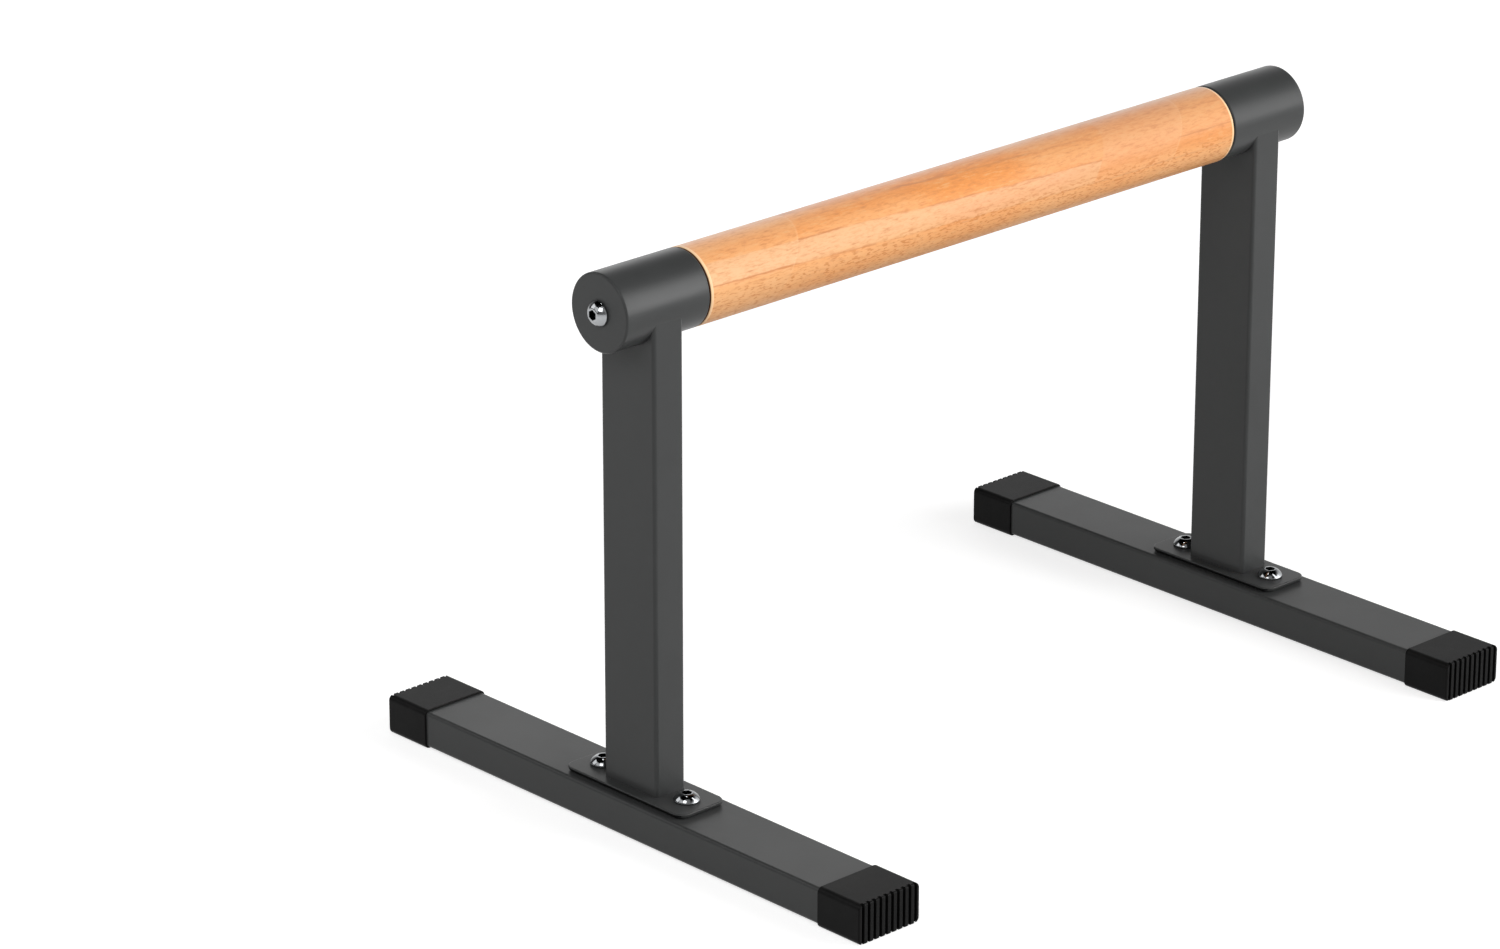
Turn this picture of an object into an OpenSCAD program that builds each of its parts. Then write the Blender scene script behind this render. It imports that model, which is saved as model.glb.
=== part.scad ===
// Parallette bar: a wooden grip between two steel posts on two long feet.
// The grip runs along X, the feet run along Y and the floor is Z = 0.
// Left is -X, right is +X, front is -Y and rear is +Y.

/* [Overall] */
// Distance between the centre lines of the two posts
post_spacing = 442; // [340:1:600]
// Height of the grip's axis above the floor
grip_height = 287; // [160:1:420]
// Length of a foot over its two end caps
foot_length = 360; // [240:1:480]

/* [Cups] */
// Outer diameter of the cups that hold the grip
cup_d = 42; // [41:0.5:60]
// Wall of a cup
cup_wall = 2; // [1.2:0.1:3]
// Length of a cup from its outer face to its mouth
cup_length = 56; // [46:1:80]
// How far a cup reaches outwards from the centre line of its post
cup_overhang = 28.5; // [20:0.5:34]
// Rounding of the outer edge of a cup's mouth
mouth_edge = 1; // [0.2:0.1:1.2]
// Thickness of the disc that closes a cup
disc_t = 3; // [2:0.5:5]
// Rounding of the disc's outer edge
disc_edge = 1.2; // [0.4:0.1:1.8]

/* [Grip] */
// How far the wood stands back from the outside of the cups
grip_setback = 0; // [0:0.05:1]
// Gap between a shoulder of the wood and the mouth of its cup
shoulder_gap = 0.5; // [0.1:0.1:0.8]
// Bevel on the two shoulders of the wood
grip_bevel = 1.2; // [0.2:0.1:1.4]
// Bevel on the ends of the spigots
spigot_bevel = 1; // [0.3:0.1:2]
// Clearance all round a spigot in its cup
spigot_gap = 0.1; // [0.05:0.05:0.4]
// Gap between the end of a spigot and the disc
spigot_end_gap = 0.5; // [0.2:0.1:1]

/* [Posts] */
// Depth of a post, along its foot
post_depth = 40; // [24:1:40]
// Width of a post, along the grip
post_width = 20; // [15:1:30]
// Wall of a post
post_wall = 1.5; // [1:0.1:3]
// Outer corner radius of a post
post_corner = 2; // [1:0.1:4]

/* [Flanges] */
// Length of a flange, along its foot
flange_length = 90; // [86:1:120]
// Width of a flange
flange_width = 32; // [24:1:36]
// Thickness of a flange
flange_t = 3; // [2:0.5:6]
// Corner radius of a flange
flange_corner = 6; // [1:0.5:10]
// Distance from a flange's end to the middle of its bolt
bolt_inset = 13; // [9:0.5:16.5]

/* [Feet] */
// Width of a foot tube
foot_width = 40; // [36:1:60]
// Height of a foot tube
foot_height = 20; // [18:1:40]
// Wall of a foot tube
foot_wall = 1.5; // [1:0.1:3]
// Outer corner radius of a foot tube
foot_corner = 2; // [1:0.1:4]

/* [End caps] */
// Length of an end cap
cap_length = 30; // [15:1:50]
// Wall of an end cap round the foot tube
cap_wall = 1; // [0.6:0.1:3]
// Clearance between an end cap and the foot tube
cap_gap = 0.05; // [0:0.05:0.2]
// Thickness of an end cap's end, ribs included
cap_end = 4; // [3:0.5:8]
// Rounding of the upright edges of a cap's end
cap_side_edge = 1.5; // [0.3:0.1:2.5]
// Rounding of the upper and lower edges of a cap's end
cap_top_edge = 0.8; // [0.3:0.1:2.5]
// Rounding of the outer edges of a cap's mouth
cap_mouth_edge = 0.4; // [0.2:0.1:0.6]
// Number of grooves in a cap's end
groove_count = 10; // [3:1:12]
// Width of a groove
groove_w = 1.9; // [1:0.1:2.4]
// Depth of a groove
groove_depth = 2; // [0.5:0.1:2.5]
// Land outside the first and the last groove
groove_land = 1.9; // [1:0.1:5]

/* [Screws, nuts and inserts] */
// Thread diameter of the screws
bolt_d = 8; // [6:1:8]
// Diameter of a button head
head_d = 14; // [11:0.5:16]
// Height of a button head
head_h = 4.4; // [3:0.1:6]
// Height of the straight rim under a head's dome
head_rim = 0.8; // [0.3:0.1:1.5]
// Flat on top of a head's dome
head_flat_d = 7; // [6.2:0.2:9]
// Width across the flats of the hexagon socket
socket_w = 5; // [3:0.5:5]
// Depth of the hexagon socket
socket_depth = 2.6; // [1:0.1:2.8]
// Bevel on the tip of a screw
tip_bevel = 0.8; // [0.3:0.1:1.2]
// Length under the head of a flange screw
flange_bolt_length = 16; // [14:1:17]
// Length under the head of a grip screw
grip_bolt_length = 25; // [15:1:40]
// Clearance all round a screw in a plain hole
hole_gap = 0.5; // [0.2:0.1:1]
// Clearance all round a screw in a threaded part
thread_gap = 0.05; // [0.02:0.01:0.1]
// Width of a square weld nut
nut_w = 14; // [12:0.5:18]
// Height of a square weld nut
nut_h = 6.5; // [4:0.5:7]
// How far inside a nut's flats the bevel of its lower corners starts
nut_bevel = 0.4; // [0.2:0.1:1]
// Outer diameter of a threaded insert
insert_d = 12; // [10:0.5:14]
// Length of a threaded insert
insert_length = 22; // [12:1:30]
// Width of the driving slot across an insert's rim
insert_slot = 1.6; // [1:0.1:2.5]
// Diameter of an insert's rim
insert_rim_d = 15; // [14.5:0.5:18]
// Thickness of an insert's rim
insert_rim_t = 1.5; // [1:0.1:2.5]
// Clearance all round an insert in the wood
insert_gap = 0.05; // [0.02:0.01:0.2]
// Room in the wood past the tip of a grip screw
tip_room = 3; // [1:0.5:10]

/* [Colours] */
// Powder-coated steel
steel_colour = "#3f4142";
// Varnished beech
wood_colour = "#f0a868";
// Rubber of the end caps
rubber_colour = "#232324";
// Zinc-plated screws
screw_colour = "#c9cbcd";
// Bare steel nuts and inserts
plain_colour = "#9a9b95";

/* [Hidden] */

$fn = 96;
// How far a cutting shape runs past what it cuts
over = 1;
// Largest share of a wall that the rounding or bevel of its edge takes
edge_share = 0.6;
// Least radius of the inside corners of a tube
least_corner = 0.3;
// Slope of the bevel on a nut's lower corners
nut_bevel_angle = 30;

// End caps, and the foot tube that they lift off the floor
cap_skin = cap_wall + cap_gap;
cap_width = foot_width + 2 * cap_skin;
cap_height = foot_height + 2 * cap_skin;
cap_corner = foot_corner + cap_skin;
cap_mouth_round = min(cap_mouth_edge, edge_share * cap_wall);
cap_mid = cap_height / 2;
tube_length = foot_length - 2 * cap_end;
foot_top = cap_skin + foot_height;
groove_span = cap_width - 2 * groove_land - groove_w;
groove_pitch = groove_span / (groove_count - 1);

// Flange and post
flange_top = foot_top + flange_t;
post_height = grip_height - flange_top;

// Cup, disc and grip
cup_bore = cup_d - 2 * cup_wall;
tube_part = cup_length - disc_t;
cup_mouth = cup_length - cup_overhang;
grip_d = cup_d - 2 * grip_setback;
grip_length = post_spacing - 2 * cup_mouth;
shoulder_end = grip_length / 2 - shoulder_gap;
spigot_d = cup_bore - 2 * spigot_gap;
spigot_length = tube_part - spigot_end_gap;
spigot_end = disc_t - cup_overhang + spigot_end_gap;
shoulder = (grip_d - spigot_d) / 2;
shoulder_bevel = min(grip_bevel, edge_share * shoulder);
mouth_round = min(mouth_edge, edge_share * cup_wall);
disc_round = min(disc_edge, edge_share * disc_t);
wood_end = grip_length / 2 + spigot_length;

// Screws and what they pass through
hole_d = bolt_d + 2 * hole_gap;
thread_d = bolt_d + 2 * thread_gap;
bolt_y = flange_length / 2 - bolt_inset;
head_flat = min(head_flat_d, head_d - 2 * head_rim);
grip_bolt_reach = grip_bolt_length - disc_t - spigot_end_gap;
insert_bore_d = insert_d + 2 * insert_gap;
insert_rim_bore_d = insert_rim_d + 2 * insert_gap;
wood_bore_depth = max(insert_length, grip_bolt_reach) + tip_room;

// Places a child that is drawn about the foot of a post at X = 0
module on_left() {
    translate([-post_spacing / 2, 0, 0]) children();
}

module on_right() {
    mirror([1, 0, 0]) on_left() children();
}

module to_rear() {
    mirror([0, 1, 0]) children();
}

// Rectangle with true round corners, centred
module round_rect(w, h, r) {
    square([w, h - 2 * r], center = true);
    square([w - 2 * r, h], center = true);
    for (x = [-1, 1], y = [-1, 1]) {
        translate([x * (w / 2 - r), y * (h / 2 - r)]) circle(r = r);
    }
}

// Section of a rectangular tube, centred
module tube_section(w, h, wall, r) {
    difference() {
        round_rect(w, h, r);
        round_rect(w - 2 * wall, h - 2 * wall, max(r - wall, least_corner));
    }
}

// Section of a ring beside the turning axis, with its upper outer edge rounded
module ring_section(inner_r, outer_r, length, edge) {
    translate([inner_r, 0]) square([outer_r - inner_r, length - edge]);
    translate([inner_r, 0]) square([outer_r - inner_r - edge, length]);
    translate([outer_r - edge, length - edge]) circle(r = edge);
}

// Lays a turned shape along the grip's axis, with its foot at X = x
module along_grip(x) {
    translate([x, 0, grip_height]) rotate([0, 90, 0]) children();
}

// Runs a flat section along Y, centred, at the height of the foot tubes
module along_foot(length) {
    translate([0, 0, cap_mid]) rotate([90, 0, 0])
        linear_extrude(length, center = true) children();
}

// Puts a child at each of a foot's two bolt places
module at_bolts() {
    for (y = [-bolt_y, bolt_y]) translate([0, y, 0]) children();
}

// Turned wooden bar, with a spigot and a bored end on each side
module grip() {
    side = [
        [grip_d / 2, shoulder_end - shoulder_bevel],
        [grip_d / 2 - shoulder_bevel, shoulder_end],
        [spigot_d / 2, shoulder_end],
        [spigot_d / 2, wood_end - spigot_bevel],
        [spigot_d / 2 - spigot_bevel, wood_end],
        [0, wood_end]
    ];
    last = len(side) - 1;
    outline = concat(side, [for (i = [0:last]) [side[last - i][0], -side[last - i][1]]]);
    color(wood_colour) difference() {
        along_grip(0) rotate_extrude() polygon(outline);
        for (turn = [0, 180]) rotate([0, 0, turn]) along_grip(wood_end) wood_bore();
    }
}

// What is bored out of one end of the wood, from that end inwards
module wood_bore() {
    translate([0, 0, -insert_rim_t]) cylinder(d = insert_rim_bore_d, h = insert_rim_t + over);
    translate([0, 0, -insert_length]) cylinder(d = insert_bore_d, h = insert_length + over);
    translate([0, 0, -wood_bore_depth]) cylinder(d = hole_d, h = wood_bore_depth + over);
}

// Threaded insert in the end of the wood, with a slotted rim
module insert() {
    outline = [
        [thread_d / 2, 0],
        [insert_rim_d / 2, 0],
        [insert_rim_d / 2, insert_rim_t],
        [insert_d / 2, insert_rim_t],
        [insert_d / 2, insert_length - tip_bevel],
        [insert_d / 2 - tip_bevel, insert_length],
        [thread_d / 2, insert_length]
    ];
    color(plain_colour) difference() {
        along_grip(spigot_end) rotate_extrude() polygon(outline);
        translate([spigot_end, 0, grip_height])
            cube([2 * insert_rim_t, insert_rim_d + over, insert_slot], center = true);
    }
}

// Tube socket that holds one end of the grip
module cup() {
    color(steel_colour) along_grip(disc_t - cup_overhang)
        rotate_extrude() ring_section(cup_bore / 2, cup_d / 2, tube_part, mouth_round);
}

// Disc that closes the outer end of a cup
module cup_disc() {
    color(steel_colour) along_grip(disc_t - cup_overhang) mirror([0, 0, 1])
        rotate_extrude() ring_section(hole_d / 2, cup_d / 2, disc_t, disc_round);
}

// Upright tube, coped at the top to sit round the underside of the cup
module post() {
    color(steel_colour) difference() {
        translate([0, 0, flange_top])
            linear_extrude(post_height) tube_section(post_width, post_depth, post_wall, post_corner);
        along_grip(-post_width / 2 - over) cylinder(d = cup_d, h = post_width + 2 * over);
    }
}

// Plate under a post, with a hole at each end
module flange() {
    color(steel_colour) difference() {
        translate([0, 0, foot_top])
            linear_extrude(flange_t) round_rect(flange_width, flange_length, flange_corner);
        at_bolts() translate([0, 0, foot_top - over]) cylinder(d = hole_d, h = flange_t + 2 * over);
    }
}

// Tube that lies along the floor, drilled through its top wall
module foot() {
    color(steel_colour) difference() {
        along_foot(tube_length) tube_section(foot_width, foot_height, foot_wall, foot_corner);
        at_bolts() translate([0, 0, cap_mid]) cylinder(d = hole_d, h = foot_height);
    }
}

// Rubber sleeve over the front end of a foot, with upright ribs on its end
module cap() {
    color(rubber_colour) difference() {
        intersection() {
            translate([0, cap_length - foot_length / 2, 0]) cap_block();
            along_foot(foot_length) round_rect(cap_width, cap_height, cap_corner);
        }
        along_foot(tube_length) cap_socket();
        for (i = [0:groove_count - 1]) cap_groove(i);
    }
}

// Block from a cap's mouth, at Y = 0, to its end, rounded as seen from above and from a side
module cap_block() {
    intersection() {
        linear_extrude(cap_height) cap_view(cap_width, cap_side_edge);
        translate([0, 0, cap_mid]) rotate([90, 0, 90])
            linear_extrude(2 * cap_width, center = true) rotate([0, 0, -90])
                cap_view(cap_height, cap_top_edge);
    }
}

// Outline of that block across w, with the corners of its end rounded by edge
module cap_view(w, edge) {
    translate([-w / 2, edge - cap_length]) square([w, cap_length - edge - cap_mouth_round]);
    translate([edge - w / 2, -cap_length]) square([w - 2 * edge, cap_length - cap_mouth_round]);
    translate([cap_mouth_round - w / 2, edge - cap_length])
        square([w - 2 * cap_mouth_round, cap_length - edge]);
    for (side = [-1, 1]) {
        translate([side * (w / 2 - edge), edge - cap_length]) circle(r = edge);
        translate([side * (w / 2 - cap_mouth_round), -cap_mouth_round])
            circle(r = cap_mouth_round);
    }
}

// Inside of a cap, which is the outside of the foot tube and a clearance
module cap_socket() {
    round_rect(foot_width + 2 * cap_gap, foot_height + 2 * cap_gap, foot_corner + cap_gap);
}

// Groove number i in a cap's end, from the left
module cap_groove(i) {
    x = i * groove_pitch - groove_span / 2;
    translate([x - groove_w / 2, -foot_length / 2 - over, -over])
        cube([groove_w, groove_depth + over, cap_height + 2 * over]);
}

// Button head screw that points down, with the underside of its head at Z = 0
module button_screw(length) {
    dome_z = (pow(head_flat / 2, 2) + pow(head_h, 2) - pow(head_d / 2, 2) - pow(head_rim, 2))
        / (2 * (head_h - head_rim));
    dome_r = norm([head_d / 2, head_rim - dome_z]);
    shank = [
        [0, over],
        [bolt_d / 2, over],
        [bolt_d / 2, tip_bevel - length],
        [bolt_d / 2 - tip_bevel, -length],
        [0, -length]
    ];
    color(screw_colour) difference() {
        union() {
            intersection() {
                cylinder(d = head_d, h = head_h);
                translate([0, 0, dome_z]) sphere(r = dome_r);
            }
            rotate_extrude() polygon(shank);
        }
        translate([0, 0, head_h - socket_depth])
            cylinder(d = socket_w / cos(30), h = socket_depth + over, $fn = 6);
    }
}

// Screw through the front hole of a flange
module flange_bolt() {
    translate([0, -bolt_y, flange_top]) button_screw(flange_bolt_length);
}

// Square nut welded under the top wall of a foot, its lower corners bevelled
module flange_nut() {
    bevel_r = nut_w / 2 - nut_bevel;
    outline = [
        [0, 0],
        [bevel_r, 0],
        [nut_w, (nut_w - bevel_r) * tan(nut_bevel_angle)],
        [nut_w, nut_h + nut_w],
        [0, nut_h + nut_w]
    ];
    color(plain_colour) translate([0, -bolt_y, foot_top - foot_wall - nut_h]) difference() {
        intersection() {
            linear_extrude(nut_h) square(nut_w, center = true);
            rotate_extrude() polygon(outline);
        }
        translate([0, 0, -over]) cylinder(d = thread_d, h = nut_h + 2 * over);
    }
}

// Screw through a disc into the insert
module grip_bolt() {
    translate([-cup_overhang, 0, grip_height]) rotate([0, -90, 0]) button_screw(grip_bolt_length);
}

module left_insert() { on_left() insert(); }
module right_insert() { on_right() insert(); }
module left_cup() { on_left() cup(); }
module right_cup() { on_right() cup(); }
module left_cup_disc() { on_left() cup_disc(); }
module right_cup_disc() { on_right() cup_disc(); }
module left_post() { on_left() post(); }
module right_post() { on_right() post(); }
module left_flange() { on_left() flange(); }
module right_flange() { on_right() flange(); }
module left_foot() { on_left() foot(); }
module right_foot() { on_right() foot(); }
module left_front_cap() { on_left() cap(); }
module left_rear_cap() { to_rear() on_left() cap(); }
module right_front_cap() { on_right() cap(); }
module right_rear_cap() { to_rear() on_right() cap(); }
module left_front_bolt() { on_left() flange_bolt(); }
module left_rear_bolt() { to_rear() on_left() flange_bolt(); }
module right_front_bolt() { on_right() flange_bolt(); }
module right_rear_bolt() { to_rear() on_right() flange_bolt(); }
module left_front_nut() { on_left() flange_nut(); }
module left_rear_nut() { to_rear() on_left() flange_nut(); }
module right_front_nut() { on_right() flange_nut(); }
module right_rear_nut() { to_rear() on_right() flange_nut(); }
module left_grip_bolt() { on_left() grip_bolt(); }
module right_grip_bolt() { on_right() grip_bolt(); }

grip();
left_insert();
right_insert();
left_cup();
right_cup();
left_cup_disc();
right_cup_disc();
left_post();
right_post();
left_flange();
right_flange();
left_foot();
right_foot();
left_front_cap();
left_rear_cap();
right_front_cap();
right_rear_cap();
left_front_bolt();
left_rear_bolt();
right_front_bolt();
right_rear_bolt();
left_front_nut();
left_rear_nut();
right_front_nut();
right_rear_nut();
left_grip_bolt();
right_grip_bolt();
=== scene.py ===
import math

import bmesh
import bpy
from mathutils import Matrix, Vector


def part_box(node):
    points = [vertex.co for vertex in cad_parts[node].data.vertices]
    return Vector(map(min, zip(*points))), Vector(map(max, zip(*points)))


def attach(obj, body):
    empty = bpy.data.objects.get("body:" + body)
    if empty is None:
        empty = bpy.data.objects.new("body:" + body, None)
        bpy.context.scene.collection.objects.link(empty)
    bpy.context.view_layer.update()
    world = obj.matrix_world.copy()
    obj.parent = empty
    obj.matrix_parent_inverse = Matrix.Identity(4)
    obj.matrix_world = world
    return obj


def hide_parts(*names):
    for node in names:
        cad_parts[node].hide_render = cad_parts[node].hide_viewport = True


# A parallette bar: a turned beech grip in two painted steel cups, on two posts with long feet.
# Sizes are in metres. X runs along the grip, Y along the feet, and the floor is Z = 0.

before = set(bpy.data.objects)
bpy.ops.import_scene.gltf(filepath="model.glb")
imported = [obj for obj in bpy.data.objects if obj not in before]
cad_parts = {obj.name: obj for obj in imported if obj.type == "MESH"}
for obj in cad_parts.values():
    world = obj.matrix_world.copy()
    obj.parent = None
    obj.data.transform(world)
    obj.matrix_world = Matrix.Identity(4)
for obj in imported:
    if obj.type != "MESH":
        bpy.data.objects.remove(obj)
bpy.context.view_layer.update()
print("frame loaded:", len(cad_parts), "nodes")

xAxis = Vector((1, 0, 0))
yAxis = Vector((0, 1, 0))
zAxis = Vector((0, 0, 1))
origin = Vector((0, 0, 0))
weldReach = 1e-6  # points closer than this are one
cutReach = 0.002  # how far a cutting shape runs past what it cuts
alongLimit = 0.999  # the cosine from which an edge or a normal lies along an axis
normalWeight = 80  # how much the large faces lead the shading
drillSegments = 48


# Selecting and editing

def deselectAll():
    if bpy.context.object and bpy.context.object.mode != "OBJECT":
        bpy.ops.object.mode_set(mode="OBJECT")
    bpy.ops.object.select_all(action="DESELECT")


def makeActive(piece):
    deselectAll()
    piece.select_set(True)
    bpy.context.view_layer.objects.active = piece


def applyPlace(piece):
    makeActive(piece)
    bpy.ops.object.transform_apply(location=True, rotation=True, scale=True)


def addBlock(name, low, high):
    deselectAll()
    bpy.ops.mesh.primitive_cube_add(size=1, location=(low + high) / 2)
    piece = bpy.context.object
    piece.name = piece.data.name = name
    piece.scale = high - low
    applyPlace(piece)
    return piece


def openMesh(piece, mode):
    makeActive(piece)
    bpy.ops.object.mode_set(mode="EDIT")
    bpy.ops.mesh.select_mode(type=mode)
    bpy.ops.mesh.select_all(action="DESELECT")
    return bmesh.from_edit_mesh(piece.data)


def pickEdges(piece, wanted):
    mesh = openMesh(piece, "EDGE")
    for edge in mesh.edges:
        if wanted(edge.verts[0].co, edge.verts[1].co):
            edge.select_set(True)
    bmesh.update_edit_mesh(piece.data)


def pickFaces(piece, wanted):
    mesh = openMesh(piece, "FACE")
    for face in mesh.faces:
        if wanted(face.calc_center_median(), face.normal):
            face.select_set(True)
    bmesh.update_edit_mesh(piece.data)


def closeMesh():
    bpy.ops.object.mode_set(mode="OBJECT")


def runsAlong(axis):
    # True for an edge that lies along that axis
    return lambda a, b: abs((b - a).normalized().dot(axis)) > alongLimit


def roundEdges(piece, wanted, radius, segments):
    pickEdges(piece, wanted)
    bpy.ops.mesh.bevel(offset=radius, offset_type="OFFSET", segments=segments,
                       profile=0.5, affect="EDGES", clamp_overlap=True)
    closeMesh()


def healMesh(piece):
    openMesh(piece, "VERT")
    bpy.ops.mesh.select_all(action="SELECT")
    bpy.ops.mesh.remove_doubles(threshold=weldReach)
    bpy.ops.mesh.normals_make_consistent(inside=False)
    closeMesh()


def applyModifier(piece, modifier):
    makeActive(piece)
    bpy.ops.object.modifier_apply(modifier=modifier.name)


def cutAway(piece, cutter):
    cut = piece.modifiers.new("cut", "BOOLEAN")
    cut.operation = "DIFFERENCE"
    cut.solver = "EXACT"
    cut.object = cutter
    applyModifier(piece, cut)
    bpy.data.objects.remove(cutter)
    healMesh(piece)


def addRod(name, start, end, radius, segments):
    along = end - start
    deselectAll()
    bpy.ops.mesh.primitive_cylinder_add(vertices=segments, radius=radius,
                                        depth=along.length, location=(start + end) / 2)
    piece = bpy.context.object
    piece.name = piece.data.name = name
    piece.rotation_euler = along.to_track_quat("Z", "Y").to_euler()
    applyPlace(piece)
    return piece


def arc(along, radius, bend, fromAngle, toAngle, steps):
    # Points of a rounded corner, as (place along the axis, radius)
    turn = [math.radians(fromAngle + (toAngle - fromAngle) * i / steps) for i in range(steps + 1)]
    return [(along + bend * math.cos(t), radius + bend * math.sin(t)) for t in turn]


def turnProfile(name, points, start, axis, segments):
    # Turns (place along the axis, radius) points round an axis through start
    side = axis.orthogonal().normalized()
    path = [start + axis * along + side * radius for along, radius in points]
    deselectAll()
    bpy.ops.mesh.primitive_plane_add(size=0.01, location=path[0])
    piece = bpy.context.object
    piece.name = piece.data.name = name
    applyPlace(piece)
    openMesh(piece, "VERT")
    bpy.ops.mesh.select_all(action="SELECT")
    bpy.ops.mesh.merge(type="CENTER")
    for here, there in zip(path, path[1:]):
        bpy.ops.mesh.extrude_vertices_move(TRANSFORM_OT_translate={"value": there - here})
    bpy.ops.mesh.select_all(action="SELECT")
    bpy.ops.mesh.spin(steps=segments, angle=math.tau, center=start, axis=axis)
    closeMesh()
    healMesh(piece)
    return piece


def copyTurned(piece, name, middle):
    # A copy with its own mesh, half a turn round an upright line through middle
    twin = piece.copy()
    twin.data = piece.data.copy()
    twin.name = twin.data.name = name
    bpy.context.scene.collection.objects.link(twin)
    twin.rotation_euler = (0, 0, math.pi)
    twin.location = (2 * middle.x, 2 * middle.y, 0)
    applyPlace(twin)
    return twin


def finishPiece(piece, material, nodes, smoothAngle=30):
    makeActive(piece)
    bpy.ops.object.shade_smooth_by_angle(angle=math.radians(smoothAngle))
    even = piece.modifiers.new("even", "WEIGHTED_NORMAL")
    even.keep_sharp = True
    even.weight = normalWeight
    applyModifier(piece, even)
    piece.data.materials.clear()
    piece.data.materials.append(material)
    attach(piece, "root")
    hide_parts(*nodes)


# Material nodes

swingLimits = (0.2, 0.8)  # the part of a noise that moves a pattern
dullLimits = (0.3, 0.7)  # the part of a noise that varies the roughness


def startMaterial(name):
    material = bpy.data.materials.new(name)
    material.use_nodes = True
    tree = material.node_tree
    return material, tree, tree.nodes["Principled BSDF"]


def setSockets(node, values):
    for socket, value in values.items():
        node.inputs[socket].default_value = value


def addNode(tree, kind, links=None, values=None, **settings):
    node = tree.nodes.new("ShaderNode" + kind)
    for setting, value in settings.items():
        setattr(node, setting, value)
    setSockets(node, values or {})
    for socket, source in (links or {}).items():
        tree.links.new(source, node.inputs[socket])
    return node


def objectPlace(tree, scale=(1, 1, 1), centre=(0, 0, 0)):
    # Object coordinates about a centre, stretched for a pattern
    place = addNode(tree, "TexCoord").outputs["Object"]
    moved = addNode(tree, "Mapping", {"Vector": place}, {"Location": tuple(-c for c in centre)})
    return addNode(tree, "Mapping", {"Vector": moved.outputs[0]}, {"Scale": scale}).outputs[0]


def noise(tree, place, scale, detail, roughness):
    values = {"Scale": scale, "Detail": detail, "Roughness": roughness}
    return addNode(tree, "TexNoise", {"Vector": place}, values).outputs["Fac"]


def remap(tree, value, low, high, toLow=0.0, toHigh=1.0, smooth=True):
    return addNode(tree, "MapRange", {"Value": value},
                   {"From Min": low, "From Max": high, "To Min": toLow, "To Max": toHigh},
                   interpolation_type="SMOOTHSTEP" if smooth else "LINEAR").outputs["Result"]


def calculate(tree, operation, a, b=None, c=None):
    node = addNode(tree, "Math", operation=operation)
    for socket, value in ((0, a), (1, b), (2, c)):
        if isinstance(value, (int, float)):
            node.inputs[socket].default_value = value
        elif value is not None:
            tree.links.new(value, node.inputs[socket])
    return node.outputs[0]


def multiply(tree, first, *others):
    for other in others:
        first = calculate(tree, "MULTIPLY", first, other)
    return first


def distanceFrom(tree, value, middle):
    return calculate(tree, "ABSOLUTE", calculate(tree, "SUBTRACT", value, middle))


def swing(tree, pattern, reach):
    # A noise made a distance that goes evenly both ways
    return remap(tree, pattern, *swingLimits, -reach, reach, False)


def mixValues(tree, kind, sockets, share, a, b):
    node = addNode(tree, "Mix", data_type=kind)
    for socket, value in zip(sockets, (share, a, b)):
        if isinstance(value, (int, float, tuple)):
            node.inputs[socket].default_value = value
        else:
            tree.links.new(value, node.inputs[socket])
    return node


def mixNumber(tree, share, a, b):
    return mixValues(tree, "FLOAT", (0, 2, 3), share, a, b).outputs[0]


def mixColour(tree, share, a, b):
    return mixValues(tree, "RGBA", (0, 6, 7), share, a, b).outputs[2]


def bump(tree, height, strengthAndDepth, below=None):
    strength, depth = strengthAndDepth
    links = {"Height": height}
    if below is not None:
        links["Normal"] = below
    return addNode(tree, "Bump", links, {"Strength": strength, "Distance": depth}).outputs[0]


def varyRoughness(tree, shader, pattern, s):
    less, more = s["spread"]
    dull = remap(tree, pattern, *dullLimits, s["roughness"] + less, s["roughness"] + more)
    tree.links.new(dull, shader.inputs["Roughness"])


def colour(hexText):
    # A linear colour from its usual written form
    parts = [int(hexText[i:i + 2], 16) / 255 for i in (1, 3, 5)]
    linear = [p / 12.92 if p <= 0.04045 else ((p + 0.055) / 1.055) ** 2.4 for p in parts]
    return (*linear, 1.0)


# Powder coat: satin charcoal with a fine orange peel
# In these tables a noise is its scale, detail and roughness, and a bump is its strength and depth.
# Limits are the part of a noise that counts, and then what it gives there.

powderCoat = {
    "base": "#3b3c3c",
    "light": "#3f4040",
    "cloud": (22, 4, 0.6),
    "cloudLimits": (0.3, 0.7, 0, 0.65),
    "speck": (2600, 2, 0.7),
    "speckShare": 0.35,
    "peel": (1400, 2, 0.5),
    "peelBump": (0.6, 0.00003),
    "roughness": 0.34,
    "spread": (-0.03, 0.03),
    "specular": 0.2,
}

# Painted shade: the long cut edges of the flanges are painted nearly black, standing in for the
# shadow over the foot
edgeShadeTone = {"base": "#151616", "light": "#191a1a", "specular": 0.1}


def makePowderCoat(name, s):
    material, tree, shader = startMaterial(name)
    place = objectPlace(tree)
    cloud = noise(tree, place, *s["cloud"])
    speck = noise(tree, place, *s["speck"])
    tone = calculate(tree, "MULTIPLY_ADD", speck, s["speckShare"],
                     remap(tree, cloud, *s["cloudLimits"]))
    paint = mixColour(tree, tone, colour(s["base"]), colour(s["light"]))
    peel = noise(tree, place, *s["peel"])
    tree.links.new(paint, shader.inputs["Base Color"])
    tree.links.new(bump(tree, peel, s["peelBump"]), shader.inputs["Normal"])
    varyRoughness(tree, shader, cloud, s)
    setSockets(shader, {"Specular IOR Level": s["specular"]})
    return material


# Moulded rubber: matt, nearly black

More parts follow.
